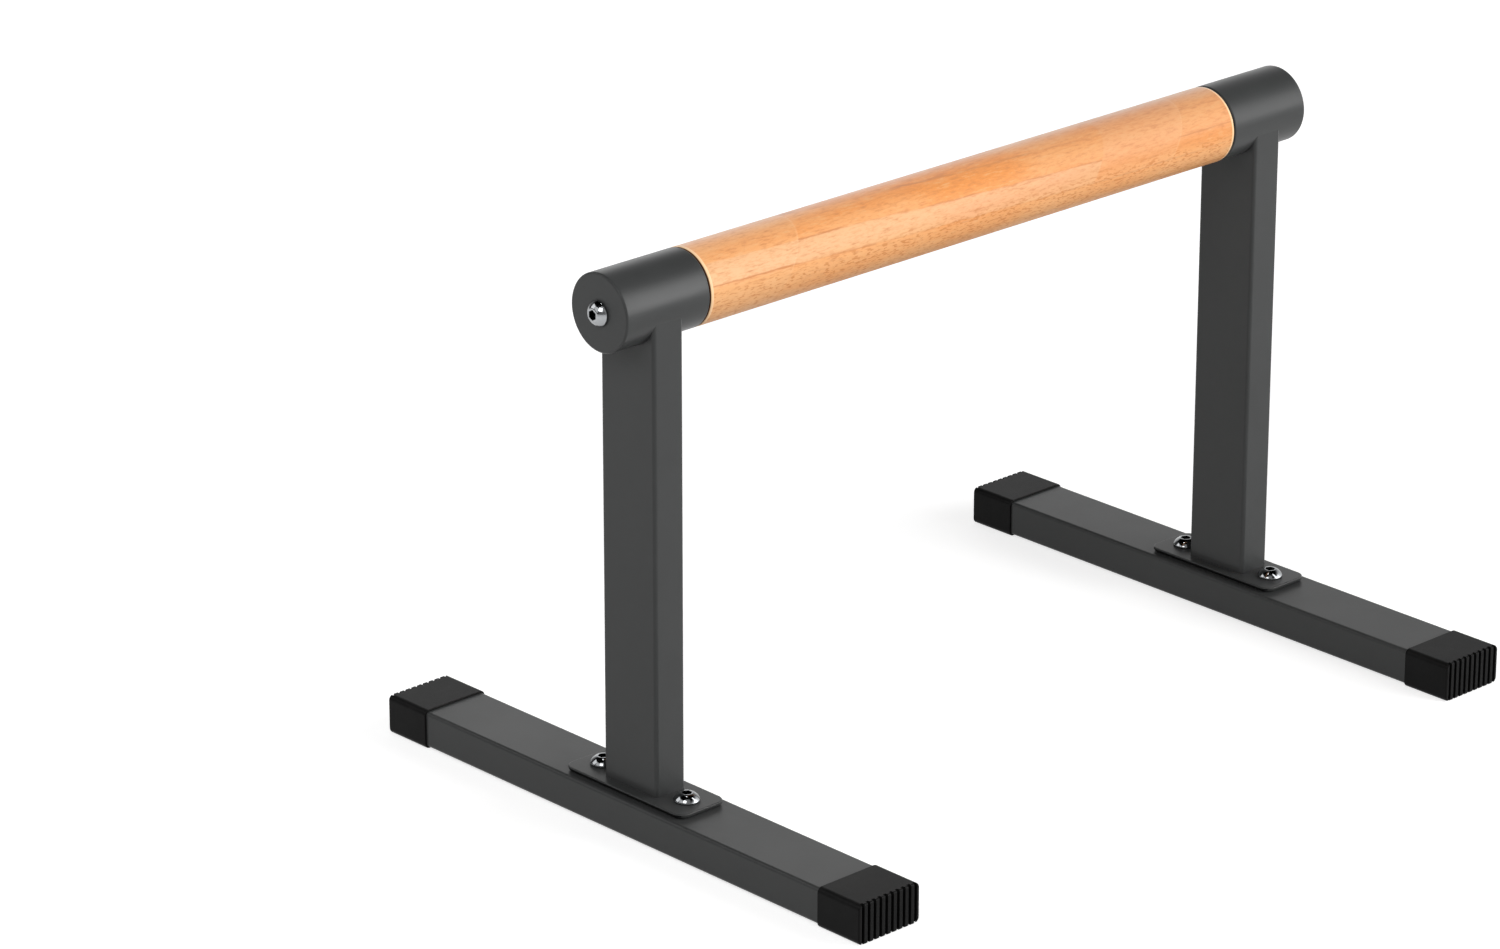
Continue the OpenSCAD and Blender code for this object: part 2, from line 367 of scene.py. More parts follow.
capRubber = {
    "base": "#171717",
    "worn": "#1c1c1c",
    "cloud": (60, 5, 0.65),
    "wornLimits": (0.35, 0.75),
    "cloudBump": (0.2, 0.0002),
    "grain": (3200, 2, 0.6),
    "grainBump": (0.5, 0.00004),
    "roughness": 0.36,
    "spread": (-0.05, 0.06),
    "specular": 0.05,
}


def makeRubber(s):
    material, tree, shader = startMaterial("cap_rubber")
    place = objectPlace(tree)
    cloud = noise(tree, place, *s["cloud"])
    grain = noise(tree, place, *s["grain"])
    worn = remap(tree, cloud, *s["wornLimits"])
    base = mixColour(tree, worn, colour(s["base"]), colour(s["worn"]))
    fine = bump(tree, grain, s["grainBump"])
    tree.links.new(base, shader.inputs["Base Color"])
    tree.links.new(bump(tree, cloud, s["cloudBump"], fine), shader.inputs["Normal"])
    varyRoughness(tree, shader, grain, s)
    setSockets(shader, {"Specular IOR Level": s["specular"]})
    return material


# Bright plated screws and plain steel

screwPlate = {"base": "#9c9ea0", "dark": "#8c8e90", "roughness": 0.1}
# Painted shade: the sockets take a nearly black steel, standing in for the shadow in the recess
socketShadeTone = {"base": "#222324", "dark": "#191a1b", "roughness": 0.45}
plainSteel = {"base": "#a3a49f", "dark": "#7d7e79", "roughness": 0.38, "stretch": (0.1, 1, 1)}

# What the three have in common, unless they say otherwise
metalGrain = {
    "stretch": (1, 1, 1),
    "streak": (900, 3, 0.6),
    "streakBump": (0.3, 0.00002),
    "cloud": (90, 3, 0.5),
    "darkLimits": (0.35, 0.7),
    "spread": (-0.05, 0.07),
}


def makeMetal(name, s):
    material, tree, shader = startMaterial(name)
    place = objectPlace(tree, s["stretch"])
    streak = noise(tree, place, *s["streak"])
    dark = remap(tree, noise(tree, place, *s["cloud"]), *s["darkLimits"])
    base = mixColour(tree, dark, colour(s["base"]), colour(s["dark"]))
    tree.links.new(base, shader.inputs["Base Color"])
    tree.links.new(bump(tree, streak, s["streakBump"]), shader.inputs["Normal"])
    varyRoughness(tree, shader, streak, s)
    setSockets(shader, {"Metallic": 1.0})
    return material


# Varnished beech: orange wood in four lengths with thin brown lines and short flecks; the tone
# steps between the lengths are partly glued joints and partly painted reflection edges

beech = {
    # the tones
    "orange": "#f3ad70",
    "deep": "#ef9547",
    "pale": "#efbc89",
    "pink": "#eeaf83",
    "line": "#d07b45",
    "shade": "#c48c64",
    "fleck": "#d58347",
    # the tone of the ends is partly paler wood and partly a painted highlight, and the shoulder's
    # tone is painted shade
    "creamAndHighlight": "#ffd6a8",
    "shoulderShade": "#5e3c28",
    # the rings of the tree, as distances from its heart
    "heart": (0, -0.0205, 0.2306),  # below the bar
    "ringGap": 0.011,
    "ringStart": -0.001,
    "leanReach": (-0.26, 0.13),
    "lean": 0.0085,  # how much the rings sink over leanReach
    "wander": (42, 2, 0.5),
    "wanderBy": 0.0011,
    "waver": (420, 3, 0.6),
    "waverBy": 0.0005,
    # one ring is paler, and the lines between the rings are broken up, all in ring widths
    "paleRing": 6,
    "paleReach": (0.45, 0.53),  # from its middle
    "paleShare": 0.9,
    "edgeBlur": 0.05,
    "lineWidth": 0.07,
    "lineShare": 0.9,
    "bareFrom": 0.2,  # over the middle of the pale ring
    "gaps": (120, 3, 0.6),
    "gapLimits": (0.42, 0.55, 0.25, 1.0),
    # the four lengths: slanted tone steps, partly glued joints and partly painted reflection edges
    "joints": (-0.138, 0.0855, 0.146),
    "jointSlant": 0.7,
    "jointBlur": 0.0006,
    "seamsAndReflectionEdges": (-0.138, 0.146),
    "seamReach": (0.0002, 0.0009),
    "seamShare": 0.2,
    "firstPale": 0.25,
    "firstBlush": 0.12,
    "thirdPink": 0.35,
    "lastPink": 0.1,
    # clouds of deeper orange, and of pink in the pale ring
    "cloudStretch": (0.14, 1, 1),
    "patch": (45, 3, 0.5),
    "deepLimits": (0.4, 0.7),
    "deepAt": -0.003,
    "deepReach": (0.015, 0.055),
    "deepMore": 0.13,
    "cloud": (95, 3, 0.55),
    "pinkLimits": (0.3, 0.55, 0.3, 1.0),
    "blushAt": 0.024,
    "blushReach": (0.025, 0.07),
    "blushAway": 0.4,  # how much is left away from blushAt
    # fibres and short dark flecks
    "fibreStretch": (0.2, 1, 1),
    "thread": (620, 4, 0.65),
    "threadDark": (0.48, 0.75, 0, 0.72),
    "threadPale": (0.25, 0.5, 0.6, 0),
    "threadBump": (0.3, 0.00004),
    "fleckStretch": (0.25, 1, 1),
    "flecks": (1300, 1, 0.4),
    "fleckLimits": (0.54, 0.64, 0, 0.7),
    "fleckBump": (0.2, 0.00006),
    # the lower half is paler with most of the flecks, and the upper half darkens to the far end as
    # painted shade
    "lowReach": (0.0525, 0.0605, 1.0, 0.3),  # over the heart
    "lowPale": 0.5,
    "shadeReach": (-0.03, 0.15),
    "shadeShare": 0.34,
    # the pale line at the ends, partly paler wood and partly a painted highlight, and the shoulder
    # painted dark as shade, from the mouth of the cup
    "endBand": (0.0023, 0.0008),
    "endBlur": (0.0003, 0.0002),
    "endShare": 0.95,
    # the varnish
    "roughness": 0.4,
    "spread": (-0.05, 0.07),
    "specular": 0.05,
    "coat": 0.1,
    "coatRoughness": 0.3,
    "sheen": 0.5,
    "sheenRoughness": 0.4,
    "sheenTopHighlight": (0.001, 0.017),  # over the axis: a painted highlight that keeps the sheen to the top
}


def makeBeech(s, axisHeight, gripEnd):
    material, tree, shader = startMaterial("varnished_beech")
    heart = s["heart"]
    slow = objectPlace(tree, s["cloudStretch"], heart)
    fibre = objectPlace(tree, s["fibreStretch"], heart)
    grain = objectPlace(tree, s["fleckStretch"], heart)
    x, y, z = addNode(tree, "SeparateXYZ", {"Vector": objectPlace(tree, (1, 1, 1), heart)}).outputs

    def paint(below, share, name):
        return mixColour(tree, share, below, colour(s[name]))

    # Rings: the distance from the heart, which leans and wanders along the bar
    reach = calculate(tree, "SQRT", calculate(tree, "ADD", calculate(tree, "POWER", y, 2),
                                              calculate(tree, "POWER", z, 2)))
    lean = remap(tree, x, *s["leanReach"], s["ringStart"], s["ringStart"] + s["lean"])
    wander = swing(tree, noise(tree, slow, *s["wander"]), s["wanderBy"])
    waver = swing(tree, noise(tree, fibre, *s["waver"]), s["waverBy"])
    for shift in (lean, wander, waver):
        reach = calculate(tree, "ADD", reach, shift)
    rings = calculate(tree, "DIVIDE", reach, s["ringGap"])
    fromLine = distanceFrom(tree, calculate(tree, "FRACT", rings), 0.5)
    band = remap(tree, distanceFrom(tree, rings, s["paleRing"]), *s["paleReach"], 1.0, 0.0)

    # Lengths: each joint is a slanted step in the tone, partly a glued joint and partly a painted
    # reflection edge
    slanted = calculate(tree, "MULTIPLY_ADD", z, -s["jointSlant"], x)
    level = s["jointSlant"] * (heart[2] - axisHeight)
    blur = s["jointBlur"]
    past = [remap(tree, slanted, joint + level - blur, joint + level + blur)
            for joint in s["joints"]]
    first = calculate(tree, "SUBTRACT", 1.0, past[0])
    third = calculate(tree, "SUBTRACT", past[1], past[2])

    # Tone: orange with deeper clouds
    deeper = remap(tree, distanceFrom(tree, x, s["deepAt"]), *s["deepReach"], s["deepMore"], 0.0)
    patch = calculate(tree, "ADD", noise(tree, slow, *s["patch"]), deeper)
    tone = paint(colour(s["orange"]), remap(tree, patch, *s["deepLimits"]), "deep")
    tone = paint(tone, multiply(tree, first, s["firstPale"]), "pale")

    # The pale ring, which blushes in clouds and ends at the second joint
    pinkClouds = remap(tree, noise(tree, slow, *s["cloud"]), *s["pinkLimits"])
    pinkPlace = remap(tree, distanceFrom(tree, x, s["blushAt"]), *s["blushReach"],
                      1.0, s["blushAway"])
    blush = paint(colour(s["pale"]), multiply(tree, pinkClouds, pinkPlace), "pink")
    blush = paint(blush, multiply(tree, first, s["firstBlush"]), "creamAndHighlight")
    before = calculate(tree, "MULTIPLY_ADD", past[1], -s["paleShare"], s["paleShare"])
    tone = mixColour(tree, multiply(tree, band, before), tone, blush)
    ringEdge = s["paleRing"] - 0.5
    above = remap(tree, rings, ringEdge - s["edgeBlur"], ringEdge + s["edgeBlur"])
    pinker = calculate(tree, "MULTIPLY_ADD", third, s["thirdPink"],
                       multiply(tree, past[2], s["lastPink"]))
    tone = paint(tone, multiply(tree, pinker, above), "pink")

    # Lines between the rings, left out above the band in the first and third lengths
    thin = remap(tree, fromLine, 0.0, s["lineWidth"], 1.0, 0.0)
    broken = remap(tree, noise(tree, slow, *s["gaps"]), *s["gapLimits"])
    high = remap(tree, rings, s["paleRing"], s["paleRing"] + s["bareFrom"])
    bare = multiply(tree, calculate(tree, "ADD", first, third), high)
    clear = calculate(tree, "MULTIPLY_ADD", bare, -s["lineShare"], s["lineShare"])
    tone = paint(tone, multiply(tree, thin, broken, clear), "line")

    # Two of the joints show as faint pale seams, partly glue lines and partly painted reflection
    # edges
    for joint in s["seamsAndReflectionEdges"]:
        fromJoint = distanceFrom(tree, slanted, joint + level)
        seam = remap(tree, fromJoint, *s["seamReach"], s["seamShare"], 0.0)
        tone = paint(tone, seam, "creamAndHighlight")

    # Fibres, and the flecks that lie thickest low on the bar
    thread = noise(tree, fibre, *s["thread"])
    tone = paint(tone, remap(tree, thread, *s["threadDark"]), "line")
    tone = paint(tone, remap(tree, thread, *s["threadPale"]), "pale")
    low = remap(tree, z, *s["lowReach"])
    tone = paint(tone, multiply(tree, low, s["lowPale"]), "pale")
    # Painted shade: the upper part darkens towards the far end, as the light falls off along the
    # bar
    farPaintedShade = remap(tree, x, *s["shadeReach"], 0.0, s["shadeShare"])
    tone = paint(tone, multiply(tree, calculate(tree, "SUBTRACT", 1.0, low), farPaintedShade), "shade")
    fleck = noise(tree, grain, *s["flecks"])
    tone = paint(tone, multiply(tree, remap(tree, fleck, *s["fleckLimits"]), low), "fleck")

    # A pale line, partly paler wood and partly a painted highlight, runs round the ends, beside
    # the shoulder in the cup's mouth, which is painted dark as shade
    fromMiddle = calculate(tree, "ABSOLUTE", x)
    start, stop = (gripEnd - back for back in s["endBand"])
    startBlur, stopBlur = s["endBlur"]
    ending = remap(tree, fromMiddle, start - startBlur, start, 0, s["endShare"])
    tone = paint(tone, ending, "creamAndHighlight")
    tone = paint(tone, remap(tree, fromMiddle, stop - stopBlur, stop), "shoulderShade")
    tree.links.new(tone, shader.inputs["Base Color"])

    # The varnish follows the fibres; the sheen on the top only is a painted highlight that makes
    # the top paler
    fine = bump(tree, thread, s["threadBump"])
    tree.links.new(bump(tree, fleck, s["fleckBump"], fine), shader.inputs["Normal"])
    varyRoughness(tree, shader, thread, s)
    overAxis = calculate(tree, "SUBTRACT", z, axisHeight - heart[2])
    sheen = remap(tree, overAxis, *s["sheenTopHighlight"], 0.0, s["sheen"])
    tree.links.new(sheen, shader.inputs["Sheen Weight"])
    setSockets(shader, {"Coat Weight": s["coat"], "Coat Roughness": s["coatRoughness"],
                        "Sheen Roughness": s["sheenRoughness"],
                        "Specular IOR Level": s["specular"]})
    return material


# Sizes that the frame gives

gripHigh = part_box("grip")[1]
cupLow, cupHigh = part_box("left_cup")
discLow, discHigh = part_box("left_cup_disc")
postLow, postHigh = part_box("left_post")
flangeLow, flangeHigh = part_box("left_flange")
footLow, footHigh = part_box("left_foot")
capLow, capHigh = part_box("left_front_cap")
boltLow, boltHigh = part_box("left_front_bolt")
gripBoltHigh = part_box("left_grip_bolt")[1]

axisHeight = (cupLow.z + cupHigh.z) / 2
cupRadius = (cupHigh.z - cupLow.z) / 2
gripEnd = -cupHigh.x  # where the wood leaves the cup, from the middle of the bar
footX = (footLow.x + footHigh.x) / 2
footMiddle = Vector((footX, 0, 0))
boltY = (boltLow.y + boltHigh.y) / 2

coat = makePowderCoat("powder_coat", powderCoat)
# A nearly black coat that paints shade on the flanges' sides
edgeShadeCoat = makePowderCoat("edge_painted_shade", powderCoat | edgeShadeTone)
rubber = makeRubber(capRubber)
plate = makeMetal("screw_plate", metalGrain | screwPlate)
# A nearly black steel that paints shade in the screw sockets
socketShadeMetal = makeMetal("socket_painted_shade", metalGrain | socketShadeTone)
steel = makeMetal("plain_steel", metalGrain | plainSteel)
wood = makeBeech(beech, axisHeight, gripEnd)
print("materials made")

# The grip: a turned bar with bevelled shoulders and a bored spigot in each cup

gripSizes = {
    "shoulderGap": 0.0005,  # between the shoulder and the cup's mouth
    "shoulderBevel": 0.0012,
    "bevelEnd": 15,  # degrees from the face of the shoulder
    "bevelSteps": 4,
    "spigotRadius": 0.0189,
    "spigotBevel": 0.001,
    "boreRadius": 0.00605,
    "boreDepth": 0.025,
    "rimBoreRadius": 0.00755,
    "rimBoreDepth": 0.0015,
    "segments": 160,
    "spans": 24,
}


def makeGrip(s):
    halfLength, shoulder = gripHigh.x, gripEnd - s["shoulderGap"]
    bevel, spigot, tip = s["shoulderBevel"], s["spigotRadius"], s["spigotBevel"]
    spans = s["spans"]
    half = arc(shoulder - bevel, cupRadius - bevel, bevel, 90, s["bevelEnd"], s["bevelSteps"]) + [
        (shoulder, spigot),
        (halfLength - tip, spigot),
        (halfLength, spigot - tip),
        (halfLength, s["rimBoreRadius"]),
        (halfLength - s["rimBoreDepth"], s["rimBoreRadius"]),
        (halfLength - s["rimBoreDepth"], s["boreRadius"]),
        (halfLength - s["boreDepth"], s["boreRadius"]),
        (halfLength - s["boreDepth"], 0),
    ]
    otherHalf = [(-along, radius) for along, radius in reversed(half)]
    straight = [((shoulder - bevel) * (2 * i / spans - 1), cupRadius) for i in range(1, spans)]
    grip = turnProfile("beech_grip", otherHalf + straight + half,
                       Vector((0, 0, axisHeight)), xAxis, s["segments"])
    finishPiece(grip, wood, ["grip"])


makeGrip(gripSizes)
print("grip made")

# The cups: a tube with a rounded mouth, and a disc with a rounded rim

cupSizes = {
    "wall": 0.002,
    "mouthRadius": 0.001,
    "discRadius": 0.0012,
    "bendSteps": 6,
    "discBore": 0.0045,
    "segments": 160,
}


def makeCup(s):
    inner, bend, steps = cupRadius - s["wall"], s["mouthRadius"], s["bendSteps"]
    length = cupHigh.x - cupLow.x
    outline = [(0, inner), (0, cupRadius), (length / 2, cupRadius)]
    outline += arc(length - bend, cupRadius - bend, bend, 90, 0, steps)
    outline += [(length, inner), (0, inner)]
    cup = turnProfile("left_cup_tube", outline, Vector((cupLow.x, 0, axisHeight)), xAxis,
                      s["segments"])
    disc = [(0, s["discBore"]), (0, cupRadius)]
    thick = discHigh.x - discLow.x
    bend = s["discRadius"]
    disc += arc(thick - bend, cupRadius - bend, bend, 90, 0, steps)
    disc += [(thick, s["discBore"]), (0, s["discBore"])]
    cupDisc = turnProfile("left_cup_end", disc, Vector((discHigh.x, 0, axisHeight)), -xAxis,
                          s["segments"])
    for piece, name, node in ((cup, "right_cup_tube", "cup"),
                              (cupDisc, "right_cup_end", "cup_disc")):
        twin = copyTurned(piece, name, origin)
        finishPiece(piece, coat, ["left_" + node])
        finishPiece(twin, coat, ["right_" + node])


makeCup(cupSizes)
print("cups made")

# The posts: rectangular tube, coped to the round of the cup

postSizes = {"wall": 0.0015, "corner": 0.002, "cornerSteps": 6}


def makeTube(name, low, high, axis, s):
    # A block whose long edges are rounded, opened from end to end
    tube = addBlock(name, low, high)
    roundEdges(tube, runsAlong(axis), s["corner"], s["cornerSteps"])
    pickFaces(tube, lambda middle, normal: abs(normal.dot(axis)) > alongLimit)
    bpy.ops.mesh.inset(thickness=s["wall"], use_even_offset=True)
    bpy.ops.mesh.bridge_edge_loops()
    closeMesh()
    healMesh(tube)
    return tube


def makePost(s):
    top = Vector((postHigh.x, postHigh.y, axisHeight))
    post = makeTube("left_post_tube", postLow, top, zAxis, s)
    saddle = addRod("saddle", Vector((postLow.x - cutReach, 0, axisHeight)),
                    Vector((postHigh.x + cutReach, 0, axisHeight)),
                    cupRadius, cupSizes["segments"])
    cutAway(post, saddle)
    twin = copyTurned(post, "right_post_tube", origin)
    finishPiece(post, coat, ["left_post"])
    finishPiece(twin, coat, ["right_post"])


makePost(postSizes)
print("posts made")

# The flanges, plates with round corners, and the feet that they are screwed to

flangeSizes = {
    "corner": 0.006,
    "cornerSteps": 12,
    "topRim": 0.0006,
    "lowRim": 0.0022,  # leaves a dark line between the plate and the foot
    "rimSteps": 4,
    "hole": 0.0045,
    "shadeFacing": 0.7,  # how far a face looks sideways to count as the cut edge
}
footSizes = {"wall": 0.0015, "corner": 0.002, "cornerSteps": 6, "hole": 0.0045}


def drill(piece, radius, low, high):
    for y in (boltY, -boltY):
        start, end = Vector((footX, y, low)), Vector((footX, y, high))
        cutAway(piece, addRod("drill", start, end, radius, drillSegments))


def makeFlange(s):
    flange = addBlock("left_flange_plate", flangeLow, flangeHigh)
    roundEdges(flange, runsAlong(zAxis), s["corner"], s["cornerSteps"])
    top, low = flangeHigh.z - weldReach, flangeLow.z + weldReach
    roundEdges(flange, lambda a, b: a.z > top and b.z > top, s["topRim"], s["rimSteps"])
    roundEdges(flange, lambda a, b: a.z < low and b.z < low, s["lowRim"], s["rimSteps"])
    drill(flange, s["hole"], flangeLow.z - cutReach, flangeHigh.z + cutReach)
    twin = copyTurned(flange, "right_flange_plate", origin)
    finishPiece(flange, coat, ["left_flange"])
    finishPiece(twin, coat, ["right_flange"])
    # Painted shade: below the top rim, the faces that look along X take the nearly black coat
    underRim = flangeHigh.z - s["topRim"]
    for piece in (flange, twin):
        piece.data.materials.append(edgeShadeCoat)
        for face in piece.data.polygons:
            if abs(face.normal.x) > s["shadeFacing"] and face.center.z < underRim:
                face.material_index = 1


def makeFoot(s):
    foot = makeTube("left_foot_tube", footLow, footHigh, yAxis, s)
    drill(foot, s["hole"], (footLow.z + footHigh.z) / 2, footHigh.z + cutReach)
    twin = copyTurned(foot, "right_foot_tube", origin)
    finishPiece(foot, coat, ["left_foot"])
    finishPiece(twin, coat, ["right_foot"])


makeFlange(flangeSizes)
makeFoot(footSizes)
print("flanges and feet made")

# The end caps: rubber sleeves with upright ribs on the end

capSizes = {
    "corner": 0.00305,
    "cornerSteps": 7,
    "endRound": 0.001,
    "endSteps": 4,
    "mouthRound": 0.0004,
    "mouthSteps": 3,
    "skin": 0.00105,  # round the foot
    "end": 0.004,  # in front of the foot, grooves and all
    "grooves": 10,
    "grooveWidth": 0.0019,
    "grooveDepth": 0.002,
    "land": 0.0019,  # beside the outer grooves
    "ribRound": 0.00022,
    "ribSteps": 2,
    "smoothAngle": 35,
}


def grooveStarts(s):
    span = capHigh.x - capLow.x - 2 * s["land"] - s["grooveWidth"]
    return [capLow.x + s["land"] + span * i / (s["grooves"] - 1) for i in range(s["grooves"])]


def isRibEdge(a, b, s):
    # True for an edge of a groove, in front of its floor
    front = capLow.y + s["grooveDepth"] - weldReach
    sides = [start + step for start in grooveStarts(s) for step in (0, s["grooveWidth"])]
    return (a.y < front and b.y < front and abs(a.x - b.x) < weldReach
            and any(abs(a.x - side) < 2 * weldReach for side in sides))


def makeCap(s):
    cap = addBlock("left_front_sleeve", capLow, capHigh)
    roundEdges(cap, runsAlong(yAxis), s["corner"], s["cornerSteps"])
    endY, mouthY = capLow.y + weldReach, capHigh.y - weldReach
    roundEdges(cap, lambda a, b: a.y < endY and b.y < endY, s["endRound"], s["endSteps"])
    roundEdges(cap, lambda a, b: a.y > mouthY and b.y > mouthY, s["mouthRound"], s["mouthSteps"])
    # The socket that the foot goes into
    pickFaces(cap, lambda middle, normal: normal.y > alongLimit)
    bpy.ops.mesh.inset(thickness=s["skin"] - s["mouthRound"], use_even_offset=True)
    depth = capHigh.y - capLow.y - s["end"]
    bpy.ops.mesh.extrude_region_move(TRANSFORM_OT_translate={"value": (0, -depth, 0)})
    closeMesh()
    # The grooves between the ribs, whose edges are soft
    for x in grooveStarts(s):
        low = Vector((x, capLow.y - cutReach, capLow.z - cutReach))
        high = Vector((x + s["grooveWidth"], capLow.y + s["grooveDepth"], capHigh.z + cutReach))
        cutAway(cap, addBlock("groove", low, high))
    roundEdges(cap, lambda a, b: isRibEdge(a, b, s), s["ribRound"], s["ribSteps"])
    healMesh(cap)
    rear = copyTurned(cap, "left_rear_sleeve", footMiddle)
    farRear = copyTurned(cap, "right_rear_sleeve", origin)
    farFront = copyTurned(rear, "right_front_sleeve", origin)
    for piece, node in ((cap, "left_front_cap"), (rear, "left_rear_cap"),
                        (farRear, "right_rear_cap"), (farFront, "right_front_cap")):
        finishPiece(piece, rubber, [node], s["smoothAngle"])


makeCap(capSizes)
print("end caps made")

# The screws: button heads with a hexagon socket

screwSizes = {
    "radius": 0.004,
    "headRadius": 0.007,
    "headHeight": 0.0044,
    "rim": 0.001,
    "seatRim": 0.0007,
    "seatSteps": 4,
    "flat": 0.0035,  # the radius of the flat top
    "flatRing": 0.85,  # of the flat, where its face ends
    "domeSteps": 10,
    "socketRadius": 0.0025 / math.cos(math.pi / 6),
    "socketDepth": 0.0026,
    "socketSlack": 0.0005,
    "tip": 0.0008,
    "neck": 0.001,  # the plain length under the head
    "pitch": 0.00125,
    "crest": 0.15,  # the flat of the thread, in pitches
    "root": 0.55,  # where the thread is deepest, in pitches
    "threadDepth": 0.0005,
    "segments": 72,
}


def makeScrew(name, seat, axis, length, s):
    # seat is the middle of the head's underside, and axis points out of the head
    head, height, flat, rim = s["headRadius"], s["headHeight"], s["flat"], s["rim"]
    radius, pitch, tip, seatRim = s["radius"], s["pitch"], s["tip"], s["seatRim"]
    # The dome is one arc from the rim to the flat, about a middle on the axis
    middle = (flat ** 2 + height ** 2 - head ** 2 - rim ** 2) / (2 * (height - rim))
    dome = math.hypot(head, rim - middle)
    outline = [(height, 0), (height, flat * s["flatRing"])]
    topAngle = math.atan2(height - middle, flat)
    lowAngle = math.atan2(rim - middle, head)
    for i in range(s["domeSteps"] + 1):
        angle = topAngle + (lowAngle - topAngle) * i / s["domeSteps"]
        outline.append((middle + dome * math.sin(angle), dome * math.cos(angle)))
    outline += arc(seatRim, head - seatRim, seatRim, 90, 180, s["seatSteps"])
    outline.append((0, radius))
    for i in range(int((length - tip - s["neck"]) / pitch)):
        start = -s["neck"] - i * pitch
        outline += [(start, radius), (start - pitch * s["crest"], radius),
                    (start - pitch * s["root"], radius - s["threadDepth"])]
    outline += [(-length + tip, radius), (-length, radius - tip), (-length, 0)]
    screw = turnProfile(name, outline, seat, axis, s["segments"])
    socket = addRod("socket", seat + axis * (height - s["socketDepth"]),
                    seat + axis * (height + cutReach), s["socketRadius"], 6)
    cutAway(screw, socket)
    return screw


def paintSocketShade(screw, axis, seatAt, s):
    # Painted shade: the socket's faces, inside its corners between its floor and the top of the
    # head, take the dark steel
    screw.data.materials.append(socketShadeMetal)
    top = seatAt + s["headHeight"] - weldReach
    low = top - s["socketDepth"] - s["socketSlack"]
    middle = sum((vertex.co for vertex in screw.data.vertices), origin) / len(screw.data.vertices)
    for face in screw.data.polygons:
        along = face.center.dot(axis)
        out = face.center - middle
        out -= axis * out.dot(axis)
        if low < along < top and out.length < s["socketRadius"]:
            face.material_index = 1


def makeScrews(s):
    topOfFlange = flangeHigh.z
    length = topOfFlange - boltLow.z
    seat = Vector((footX, boltY, topOfFlange))
    front = makeScrew("left_front_screw", seat, zAxis, length, s)
    rear = copyTurned(front, "left_rear_screw", footMiddle)
    farRear = copyTurned(front, "right_rear_screw", origin)
    farFront = copyTurned(rear, "right_front_screw", origin)
    for piece, node in ((front, "left_front_bolt"), (rear, "left_rear_bolt"),
                        (farRear, "right_rear_bolt"), (farFront, "right_front_bolt")):
        finishPiece(piece, plate, [node])
        paintSocketShade(piece, zAxis, topOfFlange, s)
    seat = Vector((discLow.x, 0, axisHeight))
    near = makeScrew("left_end_screw", seat, -xAxis, gripBoltHigh.x - discLow.x, s)
    far = copyTurned(near, "right_end_screw", origin)
    for piece, node, axis in ((near, "left_grip_bolt", -xAxis),
                              (far, "right_grip_bolt", xAxis)):
        finishPiece(piece, plate, [node])
        paintSocketShade(piece, axis, -discLow.x, s)


makeScrews(screwSizes)
print("screws made")

# The nuts and inserts of the frame stay, in plain steel

for name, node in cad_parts.items():
    if "nut" in name or "insert" in name:
        node.data.materials.clear()
        node.data.materials.append(steel)

# The camera

view = {
    "azimuth": -43.2214,
    "elevation": 21.2959,
    "distance": 3.20918,
    "lens": 145.118,
    "sensor": 36,
    "aim": (-0.07995, 0.07102, 0.13580),
}


def addCamera(s):
    azimuth, elevation = math.radians(s["azimuth"]), math.radians(s["elevation"])
    back = Vector((math.sin(azimuth) * math.cos(elevation),
                   -math.cos(azimuth) * math.cos(elevation), math.sin(elevation)))
    camera = bpy.data.objects.new("camera", bpy.data.cameras.new("camera"))
    bpy.context.scene.collection.objects.link(camera)
    camera.location = Vector(s["aim"]) + back * s["distance"]
    camera.rotation_euler = back.to_track_quat("Z", "Y").to_euler()
    camera.data.lens = s["lens"]
    camera.data.sensor_width = s["sensor"]
    camera.data.dof.use_dof = False
    bpy.context.scene.camera = camera


addCamera(view)

# The floor and the light

studio = {
    "floorSize": 60,
    "floorColour": "#a9a9a9",
    "floorSeen": "#d1d1d1",  # the same floor as the camera and shiny surfaces see it
    "floorLift": (0.68, 0.84),  # round the bar, where its shadow shows, and far from it
    "liftReach": (0.42, 0.8),
    "wallTop": (0.45, 0.8),
    "wallFocus": 4,  # how narrow each bright patch is
    "walls": [
        # the direction in degrees from +X, its brightness
        (-45, 3.9),
        (45, 1.3),
        (-135, 0.3),
    ],
    "lamps": [
        # name, where it hangs, its size, its radiance
        ("near_box", (-1.0, -0.4, 0.9), (0.5, 0.5), 4.9),
        ("left_box", (-1.4, 0.2, 0.9), (0.8, 0.8), 1.2),
        ("rear_box", (-1.3, 1.3, 1.1), (1.0, 1.0), 2.0),
        ("right_box", (1.9, -2.3, 1.1), (2.0, 2.0), 1.4),
        ("low_box", (0.8, -2.2, 0.5), (1.6, 0.9), 0.8),
        ("back_box", (0.9, 1.9, 0.9), (1.6, 1.0), 0.4),
        ("high_box", (-1.1, -1.3, 1.7), (1.6, 1.6), 0.4),
        ("top_spot", (-0.25, 0.0, 1.5), (0.16, 0.16), 10.0),
        ("cup_box", (0.42, -0.72, 0.62), (0.2, 1.0), 4.2),
    ],
    "lampsFace": (0, 0, 0.15),
}


def seenDirectly(tree):
    # 1 for what the camera sees, also by way of a shiny or clear surface
    path = addNode(tree, "LightPath").outputs
    shiny = calculate(tree, "MAXIMUM", path["Is Glossy Ray"], path["Is Transmission Ray"])
    return calculate(tree, "MAXIMUM", path["Is Camera Ray"], shiny)


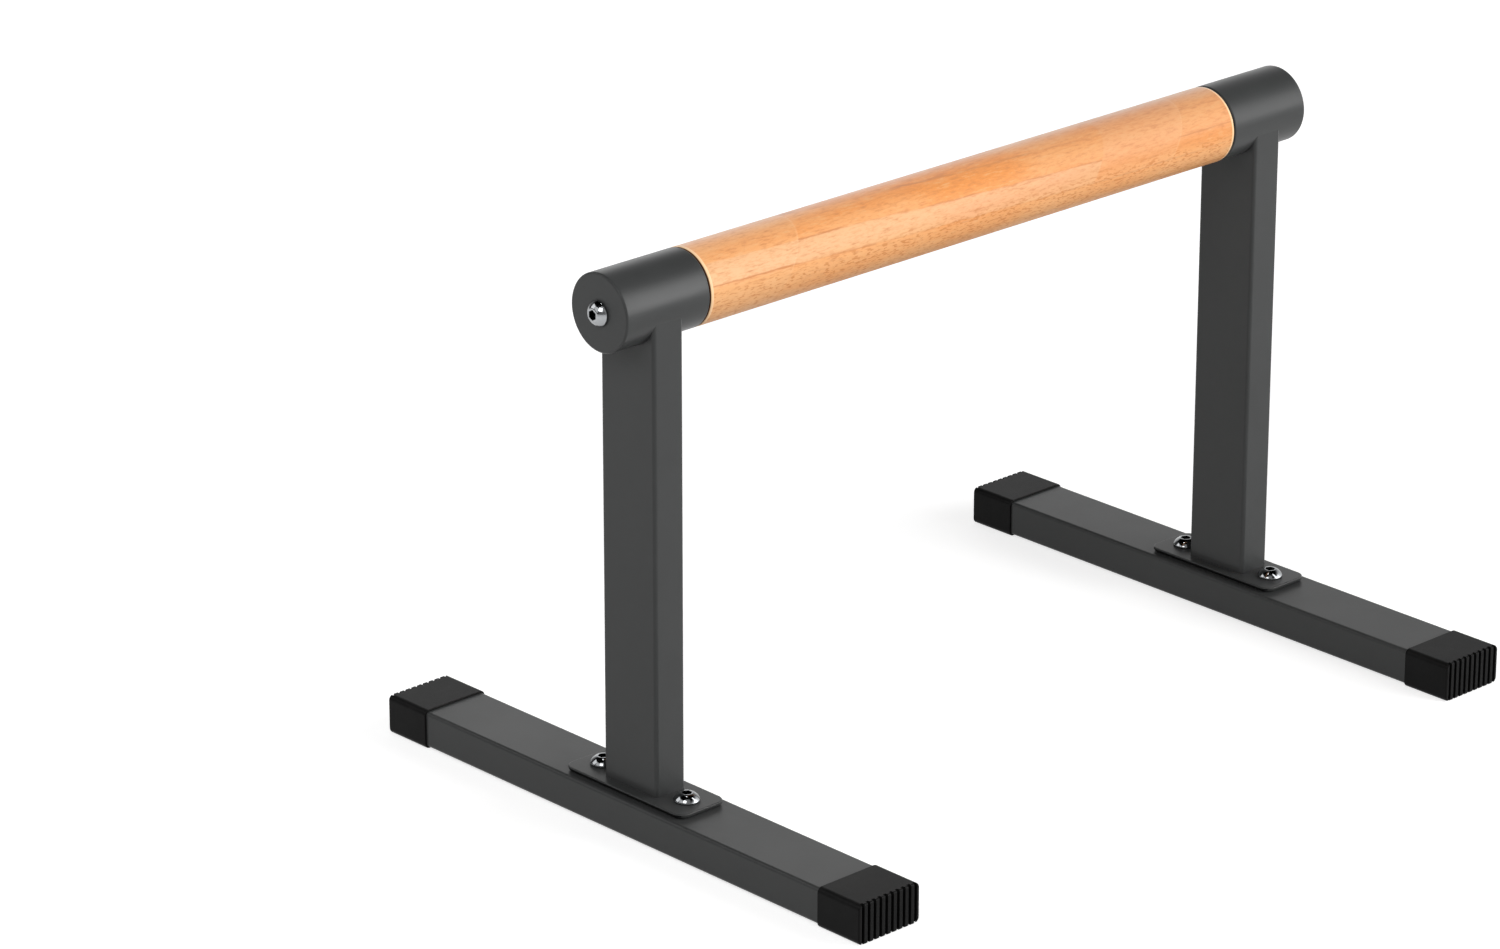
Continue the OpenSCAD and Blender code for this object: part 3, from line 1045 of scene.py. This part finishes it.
def addFloor(s):
    deselectAll()
    bpy.ops.mesh.primitive_plane_add(size=s["floorSize"])
    floor = bpy.context.object
    floor.name = floor.data.name = "floor"
    material, tree, shader = startMaterial("floor_paper")
    tree.nodes.remove(shader)
    seen = seenDirectly(tree)
    shade = mixColour(tree, seen, colour(s["floorColour"]), colour(s["floorSeen"]))
    paper = addNode(tree, "BsdfDiffuse", {"Color": shade})
    place = addNode(tree, "TexCoord").outputs["Object"]
    distance = addNode(tree, "VectorMath", {0: place}, operation="LENGTH").outputs["Value"]
    lift = remap(tree, distance, *s["liftReach"], *s["floorLift"])
    glow = addNode(tree, "Emission", {"Strength": multiply(tree, seen, lift)},
                   {"Color": (1, 1, 1, 1)})
    both = addNode(tree, "AddShader")
    tree.links.new(paper.outputs[0], both.inputs[0])
    tree.links.new(glow.outputs[0], both.inputs[1])
    tree.links.new(both.outputs[0], tree.nodes["Material Output"].inputs["Surface"])
    floor.data.materials.append(material)


def addWorld(s):
    world = bpy.data.worlds.new("studio")
    bpy.context.scene.world = world
    world.use_nodes = True
    tree = world.node_tree
    background = tree.nodes["Background"]
    path = addNode(tree, "LightPath").outputs
    sight = addNode(tree, "TexCoord").outputs["Generated"]
    height = addNode(tree, "SeparateXYZ", {"Vector": sight}).outputs["Z"]
    # A soft bright patch on the wall in each direction, and a dark ceiling
    level = 0.0
    for direction, brightness in s["walls"]:
        angle = math.radians(direction)
        towards = (math.cos(angle), math.sin(angle), 0)
        facing = addNode(tree, "VectorMath", {0: sight}, {1: towards},
                         operation="DOT_PRODUCT").outputs["Value"]
        patch = calculate(tree, "POWER", calculate(tree, "MAXIMUM", facing, 0.0), s["wallFocus"])
        level = calculate(tree, "MULTIPLY_ADD", patch, brightness, level)
    level = multiply(tree, level, remap(tree, height, *s["wallTop"], 1.0, 0.0))
    for direct in ("Is Transmission Ray", "Is Camera Ray"):
        level = mixNumber(tree, path[direct], level, 1.0)
    tree.links.new(level, background.inputs["Strength"])
    background.inputs["Color"].default_value = (1, 1, 1, 1)


def addLamps(s):
    target = Vector(s["lampsFace"])
    for name, place, size, radiance in s["lamps"]:
        data = bpy.data.lights.new(name, "AREA")
        data.shape = "RECTANGLE"
        data.size, data.size_y = size
        data.energy = radiance * math.pi * size[0] * size[1]
        lamp = bpy.data.objects.new(name, data)
        bpy.context.scene.collection.objects.link(lamp)
        lamp.location = place
        lamp.rotation_euler = (target - Vector(place)).to_track_quat("-Z", "Y").to_euler()


addFloor(studio)
addWorld(studio)
addLamps(studio)
bpy.context.scene.view_settings.view_transform = "Standard"
print("camera, floor and light set")
